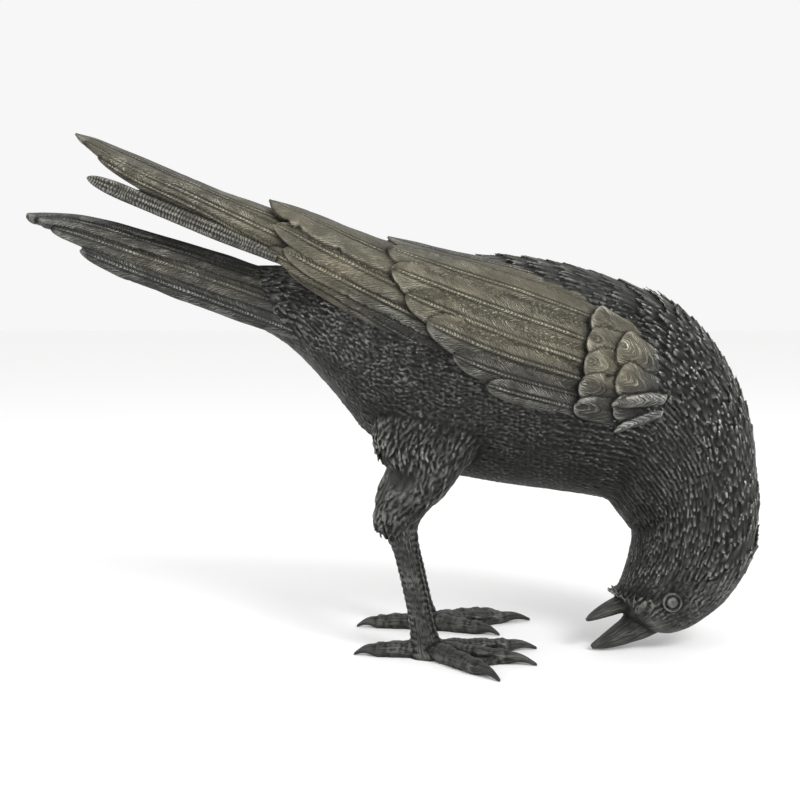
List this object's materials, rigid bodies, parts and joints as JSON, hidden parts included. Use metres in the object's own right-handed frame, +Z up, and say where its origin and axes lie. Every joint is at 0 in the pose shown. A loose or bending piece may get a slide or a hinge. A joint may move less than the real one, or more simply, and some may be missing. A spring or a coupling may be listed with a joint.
{
  "type": "bronze raven sculpture",
  "caption": "Life-size standing raven that bends down to feed with its bill open, a cast metal garden statue on its own feet.",
  "frame": {"origin": "on the ground, below the middle of the bird's outline", "axes": "+X the way the bird faces, from tail to breast; +Y towards its left side; +Z up"},
  "size_m": [0.4549, 0.1603, 0.3155],
  "materials": {
    "bronze": "dark brown-black patina on cast bronze, rubbed lighter on raised feathers, olive khaki on the wings"
  },
  "bodies": {
    "root": {"raven": "bronze"}
  },
  "joints": []
}
